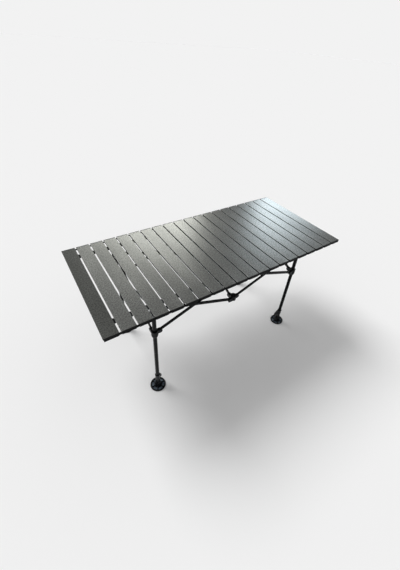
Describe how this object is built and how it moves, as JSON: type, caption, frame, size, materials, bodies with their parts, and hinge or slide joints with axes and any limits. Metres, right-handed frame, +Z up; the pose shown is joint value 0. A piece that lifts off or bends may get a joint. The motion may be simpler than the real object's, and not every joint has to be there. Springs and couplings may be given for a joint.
{
  "type": "folding camp table",
  "caption": "Folding camp table with a roll-up top of metal slats on a collapsing frame of crossed scissor bars, round legs and tilting foot pads.",
  "frame": {"origin": "on the floor under the middle of the table", "axes": "+X along the table's length to the right, +Y across it to the rear, +Z up"},
  "size_m": [1.2002, 0.54, 0.56],
  "materials": {
    "slat": "satin, fine grained grey coating",
    "bar": "satin black coating",
    "leg": "satin black coating",
    "moulding": "moulded black nylon"
  },
  "bodies": {
    "leg_fl": {"leg_tube_fl": "leg", "top_hub_fl": "moulding", "foot_shoe_fl": "moulding"},
    "slider_fl": {"slider_fl": "moulding"},
    "foot_pad_fl": {"foot_pad_fl": "moulding"},
    "leg_fr": {"leg_tube_fr": "leg", "top_hub_fr": "moulding", "foot_shoe_fr": "moulding"},
    "slider_fr": {"slider_fr": "moulding"},
    "foot_pad_fr": {"foot_pad_fr": "moulding"},
    "upper_centre_hub_f": {"upper_centre_hub_f": "moulding"},
    "lower_centre_hub_f": {"lower_centre_hub_f": "moulding"},
    "leg_rl": {"leg_tube_rl": "leg", "top_hub_rl": "moulding", "foot_shoe_rl": "moulding"},
    "slider_rl": {"slider_rl": "moulding"},
    "foot_pad_rl": {"foot_pad_rl": "moulding"},
    "leg_rr": {"leg_tube_rr": "leg", "top_hub_rr": "moulding", "foot_shoe_rr": "moulding"},
    "slider_rr": {"slider_rr": "moulding"},
    "foot_pad_rr": {"foot_pad_rr": "moulding"},
    "upper_centre_hub_r": {"upper_centre_hub_r": "moulding"},
    "lower_centre_hub_r": {"lower_centre_hub_r": "moulding"},
    "bar_fl_outer": {"bar_fl_outer": "bar"},
    "bar_fl_inner": {"bar_fl_inner": "bar"},
    "bar_fr_outer": {"bar_fr_outer": "bar"},
    "bar_fr_inner": {"bar_fr_inner": "bar"},
    "bar_rl_outer": {"bar_rl_outer": "bar"},
    "bar_rl_inner": {"bar_rl_inner": "bar"},
    "bar_rr_outer": {"bar_rr_outer": "bar"},
    "bar_rr_inner": {"bar_rr_inner": "bar"},
    "bar_across_l_outer": {"bar_across_l_outer": "bar"},
    "bar_across_l_inner": {"bar_across_l_inner": "bar"},
    "bar_across_c_outer": {"bar_across_c_outer": "bar"},
    "bar_across_c_inner": {"bar_across_c_inner": "bar"},
    "bar_across_r_outer": {"bar_across_r_outer": "bar"},
    "bar_across_r_inner": {"bar_across_r_inner": "bar"},
    "slat_01": {"slat_01": "slat"},
    "slat_02": {"slat_02": "slat"},
    "slat_03": {"slat_03": "slat"},
    "slat_04": {"slat_04": "slat"},
    "slat_05": {"slat_05": "slat"},
    "slat_06": {"slat_06": "slat"},
    "slat_07": {"slat_07": "slat"},
    "slat_08": {"slat_08": "slat"},
    "slat_09": {"slat_09": "slat"},
    "slat_10": {"slat_10": "slat"},
    "slat_11": {"slat_11": "slat"},
    "slat_12": {"slat_12": "slat"},
    "slat_13": {"slat_13": "slat"},
    "slat_14": {"slat_14": "slat"},
    "slat_15": {"slat_15": "slat"},
    "slat_16": {"slat_16": "slat"},
    "slat_17": {"slat_17": "slat"},
    "slat_18": {"slat_18": "slat"},
    "slat_19": {"slat_19": "slat"},
    "slat_20": {"slat_20": "slat"}
  },
  "joints": [
    {"name": "frame_fold", "type": "hinge", "parent": "leg_fl", "child": "bar_fl_outer", "pos_m": [-0.374, -0.2013, 0.5197], "axis": [0, 1, 0], "range_deg": [0, 61.2]},
    {"name": "cross_fl", "type": "hinge", "parent": "bar_fl_outer", "child": "bar_fl_inner", "pos_m": [-0.198, -0.198, 0.4547], "axis": [0, 1, 0], "range_deg": [-122.4, 0]},
    {"name": "slider_pin_fl", "type": "hinge", "parent": "bar_fl_inner", "child": "slider_fl", "pos_m": [-0.374, -0.1947, 0.3897], "axis": [0, 1, 0], "range_deg": [0, 61.2]},
    {"name": "upper_centre_pin_f", "type": "hinge", "parent": "bar_fl_inner", "child": "upper_centre_hub_f", "pos_m": [-0.022, -0.1947, 0.5197], "axis": [0, 1, 0], "range_deg": [0, 61.2]},
    {"name": "lower_centre_pin_f", "type": "hinge", "parent": "bar_fl_outer", "child": "lower_centre_hub_f", "pos_m": [-0.022, -0.2013, 0.3897], "axis": [0, 1, 0], "range_deg": [-61.2, 0]},
    {"name": "bar_pin_fr", "type": "hinge", "parent": "lower_centre_hub_f", "child": "bar_fr_outer", "pos_m": [0.022, -0.1947, 0.3897], "axis": [0, 1, 0], "range_deg": [-61.2, 0]},
    {"name": "cross_fr", "type": "hinge", "parent": "bar_fr_outer", "child": "bar_fr_inner", "pos_m": [0.198, -0.198, 0.4547], "axis": [0, 1, 0], "range_deg": [0, 122.4]},
    {"name": "top_hub_pin_fr", "type": "hinge", "parent": "bar_fr_outer", "child": "leg_fr", "pos_m": [0.374, -0.1947, 0.5197], "axis": [0, 1, 0], "range_deg": [0, 61.2]},
    {"name": "slider_pin_fr", "type": "hinge", "parent": "bar_fr_inner", "child": "slider_fr", "pos_m": [0.374, -0.2013, 0.3897], "axis": [0, 1, 0], "range_deg": [-61.2, 0]},
    {"name": "bar_pin_across_l", "type": "hinge", "parent": "leg_fl", "child": "bar_across_l_outer", "pos_m": [-0.3927, -0.176, 0.5197], "axis": [1, 0, 0], "range_deg": [-61.2, 0]},
    {"name": "cross_across_l", "type": "hinge", "parent": "bar_across_l_outer", "child": "bar_across_l_inner", "pos_m": [-0.396, 0, 0.4547], "axis": [1, 0, 0], "range_deg": [0, 122.4]},
    {"name": "top_hub_pin_rl", "type": "hinge", "parent": "bar_across_l_inner", "child": "leg_rl", "pos_m": [-0.3993, 0.176, 0.5197], "axis": [1, 0, 0], "range_deg": [-61.2, 0]},
    {"name": "slider_pin_rl", "type": "hinge", "parent": "bar_across_l_outer", "child": "slider_rl", "pos_m": [-0.3927, 0.176, 0.3897], "axis": [1, 0, 0], "range_deg": [0, 61.2]},
    {"name": "bar_pin_across_c", "type": "hinge", "parent": "upper_centre_hub_f", "child": "bar_across_c_outer", "pos_m": [0.0033, -0.176, 0.5197], "axis": [1, 0, 0], "range_deg": [-61.2, 0]},
    {"name": "cross_across_c", "type": "hinge", "parent": "bar_across_c_outer", "child": "bar_across_c_inner", "pos_m": [0, 0, 0.4547], "axis": [1, 0, 0], "range_deg": [0, 122.4]},
    {"name": "upper_centre_pin_r", "type": "hinge", "parent": "bar_across_c_inner", "child": "upper_centre_hub_r", "pos_m": [-0.0033, 0.176, 0.5197], "axis": [1, 0, 0], "range_deg": [-61.2, 0]},
    {"name": "lower_centre_pin_r", "type": "hinge", "parent": "bar_across_c_outer", "child": "lower_centre_hub_r", "pos_m": [0.0033, 0.176, 0.3897], "axis": [1, 0, 0], "range_deg": [0, 61.2]},
    {"name": "bar_pin_across_r", "type": "hinge", "parent": "leg_fr", "child": "bar_across_r_outer", "pos_m": [0.3993, -0.176, 0.5197], "axis": [1, 0, 0], "range_deg": [-61.2, 0]},
    {"name": "cross_across_r", "type": "hinge", "parent": "bar_across_r_outer", "child": "bar_across_r_inner", "pos_m": [0.396, 0, 0.4547], "axis": [1, 0, 0], "range_deg": [0, 122.4]},
    {"name": "top_hub_pin_rr", "type": "hinge", "parent": "bar_across_r_inner", "child": "leg_rr", "pos_m": [0.3927, 0.176, 0.5197], "axis": [1, 0, 0], "range_deg": [-61.2, 0]},
    {"name": "slider_pin_rr", "type": "hinge", "parent": "bar_across_r_outer", "child": "slider_rr", "pos_m": [0.3993, 0.176, 0.3897], "axis": [1, 0, 0], "range_deg": [0, 61.2]},
    {"name": "bar_pin_rl", "type": "hinge", "parent": "leg_rl", "child": "bar_rl_outer", "pos_m": [-0.374, 0.1947, 0.5197], "axis": [0, 1, 0], "range_deg": [0, 61.2]},
    {"name": "cross_rl", "type": "hinge", "parent": "bar_rl_outer", "child": "bar_rl_inner", "pos_m": [-0.198, 0.198, 0.4547], "axis": [0, 1, 0], "range_deg": [-122.4, 0]},
    {"name": "bar_pin_rr", "type": "hinge", "parent": "leg_rr", "child": "bar_rr_outer", "pos_m": [0.374, 0.2013, 0.5197], "axis": [0, 1, 0], "range_deg": [-61.2, 0]},
    {"name": "cross_rr", "type": "hinge", "parent": "bar_rr_outer", "child": "bar_rr_inner", "pos_m": [0.198, 0.198, 0.4547], "axis": [0, 1, 0], "range_deg": [0, 122.4]},
    {"name": "top_lift", "type": "slide", "parent": "leg_fl", "child": "slat_10", "axis": [0, 0, 1], "range_m": [0, 0.12]},
    {"name": "top_roll", "type": "hinge", "parent": "slat_10", "child": "slat_11", "pos_m": [0, 0, 0.5535], "axis": [0, -1, 0], "range_deg": [0, 33]},
    {"name": "roll_01", "type": "hinge", "parent": "slat_02", "child": "slat_01", "pos_m": [-0.5427, 0, 0.5535], "axis": [0, 1, 0], "range_deg": [0, 26.1]},
    {"name": "roll_02", "type": "hinge", "parent": "slat_03", "child": "slat_02", "pos_m": [-0.4824, 0, 0.5535], "axis": [0, 1, 0], "range_deg": [0, 26.9]},
    {"name": "roll_03", "type": "hinge", "parent": "slat_04", "child": "slat_03", "pos_m": [-0.4221, 0, 0.5535], "axis": [0, 1, 0], "range_deg": [0, 27.7]},
    {"name": "roll_04", "type": "hinge", "parent": "slat_05", "child": "slat_04", "pos_m": [-0.3618, 0, 0.5535], "axis": [0, 1, 0], "range_deg": [0, 28.4]},
    {"name": "roll_05", "type": "hinge", "parent": "slat_06", "child": "slat_05", "pos_m": [-0.3015, 0, 0.5535], "axis": [0, 1, 0], "range_deg": [0, 29.2]},
    {"name": "roll_06", "type": "hinge", "parent": "slat_07", "child": "slat_06", "pos_m": [-0.2412, 0, 0.5535], "axis": [0, 1, 0], "range_deg": [0, 30]},
    {"name": "roll_07", "type": "hinge", "parent": "slat_08", "child": "slat_07", "pos_m": [-0.1809, 0, 0.5535], "axis": [0, 1, 0], "range_deg": [0, 30.8]},
    {"name": "roll_08", "type": "hinge", "parent": "slat_09", "child": "slat_08", "pos_m": [-0.1206, 0, 0.5535], "axis": [0, 1, 0], "range_deg": [0, 31.5]},
    {"name": "roll_09", "type": "hinge", "parent": "slat_10", "child": "slat_09", "pos_m": [-0.0603, 0, 0.5535], "axis": [0, 1, 0], "range_deg": [0, 32.3]},
    {"name": "roll_11", "type": "hinge", "parent": "slat_11", "child": "slat_12", "pos_m": [0.0603, 0, 0.5535], "axis": [0, -1, 0], "range_deg": [0, 33.9]},
    {"name": "roll_12", "type": "hinge", "parent": "slat_12", "child": "slat_13", "pos_m": [0.1206, 0, 0.5535], "axis": [0, -1, 0], "range_deg": [0, 34.7]},
    {"name": "roll_13", "type": "hinge", "parent": "slat_13", "child": "slat_14", "pos_m": [0.1809, 0, 0.5535], "axis": [0, -1, 0], "range_deg": [0, 35.4]},
    {"name": "roll_14", "type": "hinge", "parent": "slat_14", "child": "slat_15", "pos_m": [0.2412, 0, 0.5535], "axis": [0, -1, 0], "range_deg": [0, 36.2]},
    {"name": "roll_15", "type": "hinge", "parent": "slat_15", "child": "slat_16", "pos_m": [0.3015, 0, 0.5535], "axis": [0, -1, 0], "range_deg": [0, 37]},
    {"name": "roll_16", "type": "hinge", "parent": "slat_16", "child": "slat_17", "pos_m": [0.3618, 0, 0.5535], "axis": [0, -1, 0], "range_deg": [0, 37.8]},
    {"name": "roll_17", "type": "hinge", "parent": "slat_17", "child": "slat_18", "pos_m": [0.4221, 0, 0.5535], "axis": [0, -1, 0], "range_deg": [0, 38.5]},
    {"name": "roll_18", "type": "hinge", "parent": "slat_18", "child": "slat_19", "pos_m": [0.4824, 0, 0.5535], "axis": [0, -1, 0], "range_deg": [0, 39.3]},
    {"name": "roll_19", "type": "hinge", "parent": "slat_19", "child": "slat_20", "pos_m": [0.5427, 0, 0.5535], "axis": [0, -1, 0], "range_deg": [0, 40.1]},
    {"name": "foot_tilt_fl", "type": "hinge", "parent": "leg_fl", "child": "foot_pad_fl", "pos_m": [-0.396, -0.198, 0.028], "axis": [0.866, -0.5, 0], "range_deg": [-15, 15]},
    {"name": "foot_tilt_fr", "type": "hinge", "parent": "leg_fr", "child": "foot_pad_fr", "pos_m": [0.396, -0.198, 0.028], "axis": [0.866, -0.5, 0], "range_deg": [-15, 15]},
    {"name": "foot_tilt_rl", "type": "hinge", "parent": "leg_rl", "child": "foot_pad_rl", "pos_m": [-0.396, 0.198, 0.028], "axis": [0.866, -0.5, 0], "range_deg": [-15, 15]},
    {"name": "foot_tilt_rr", "type": "hinge", "parent": "leg_rr", "child": "foot_pad_rr", "pos_m": [0.396, 0.198, 0.028], "axis": [0.866, -0.5, 0], "range_deg": [-15, 15]}
  ],
  "couplings": [
    {"joint": "cross_fl", "follows": "frame_fold", "ratio": -2},
    {"joint": "slider_pin_fl", "follows": "frame_fold", "ratio": 1},
    {"joint": "upper_centre_pin_f", "follows": "frame_fold", "ratio": 1},
    {"joint": "lower_centre_pin_f", "follows": "frame_fold", "ratio": -1},
    {"joint": "bar_pin_fr", "follows": "frame_fold", "ratio": -1},
    {"joint": "cross_fr", "follows": "frame_fold", "ratio": 2},
    {"joint": "top_hub_pin_fr", "follows": "frame_fold", "ratio": 1},
    {"joint": "slider_pin_fr", "follows": "frame_fold", "ratio": -1},
    {"joint": "bar_pin_across_l", "follows": "frame_fold", "ratio": -1},
    {"joint": "cross_across_l", "follows": "frame_fold", "ratio": 2},
    {"joint": "top_hub_pin_rl", "follows": "frame_fold", "ratio": -1},
    {"joint": "slider_pin_rl", "follows": "frame_fold", "ratio": 1},
    {"joint": "bar_pin_across_c", "follows": "frame_fold", "ratio": -1},
    {"joint": "cross_across_c", "follows": "frame_fold", "ratio": 2},
    {"joint": "upper_centre_pin_r", "follows": "frame_fold", "ratio": -1},
    {"joint": "lower_centre_pin_r", "follows": "frame_fold", "ratio": 1},
    {"joint": "bar_pin_across_r", "follows": "frame_fold", "ratio": -1},
    {"joint": "cross_across_r", "follows": "frame_fold", "ratio": 2},
    {"joint": "top_hub_pin_rr", "follows": "frame_fold", "ratio": -1},
    {"joint": "slider_pin_rr", "follows": "frame_fold", "ratio": 1},
    {"joint": "bar_pin_rl", "follows": "frame_fold", "ratio": 1},
    {"joint": "cross_rl", "follows": "frame_fold", "ratio": -2},
    {"joint": "bar_pin_rr", "follows": "frame_fold", "ratio": -1},
    {"joint": "cross_rr", "follows": "frame_fold", "ratio": 2},
    {"joint": "roll_01", "follows": "top_roll", "ratio": 0.78788},
    {"joint": "roll_02", "follows": "top_roll", "ratio": 0.81145},
    {"joint": "roll_03", "follows": "top_roll", "ratio": 0.83502},
    {"joint": "roll_04", "follows": "top_roll", "ratio": 0.85859},
    {"joint": "roll_05", "follows": "top_roll", "ratio": 0.88215},
    {"joint": "roll_06", "follows": "top_roll", "ratio": 0.90572},
    {"joint": "roll_07", "follows": "top_roll", "ratio": 0.92929},
    {"joint": "roll_08", "follows": "top_roll", "ratio": 0.95286},
    {"joint": "roll_09", "follows": "top_roll", "ratio": 0.97643},
    {"joint": "roll_11", "follows": "top_roll", "ratio": 1.0236},
    {"joint": "roll_12", "follows": "top_roll", "ratio": 1.0471},
    {"joint": "roll_13", "follows": "top_roll", "ratio": 1.0707},
    {"joint": "roll_14", "follows": "top_roll", "ratio": 1.0943},
    {"joint": "roll_15", "follows": "top_roll", "ratio": 1.1179},
    {"joint": "roll_16", "follows": "top_roll", "ratio": 1.1414},
    {"joint": "roll_17", "follows": "top_roll", "ratio": 1.165},
    {"joint": "roll_18", "follows": "top_roll", "ratio": 1.1885},
    {"joint": "roll_19", "follows": "top_roll", "ratio": 1.2121}
  ]
}
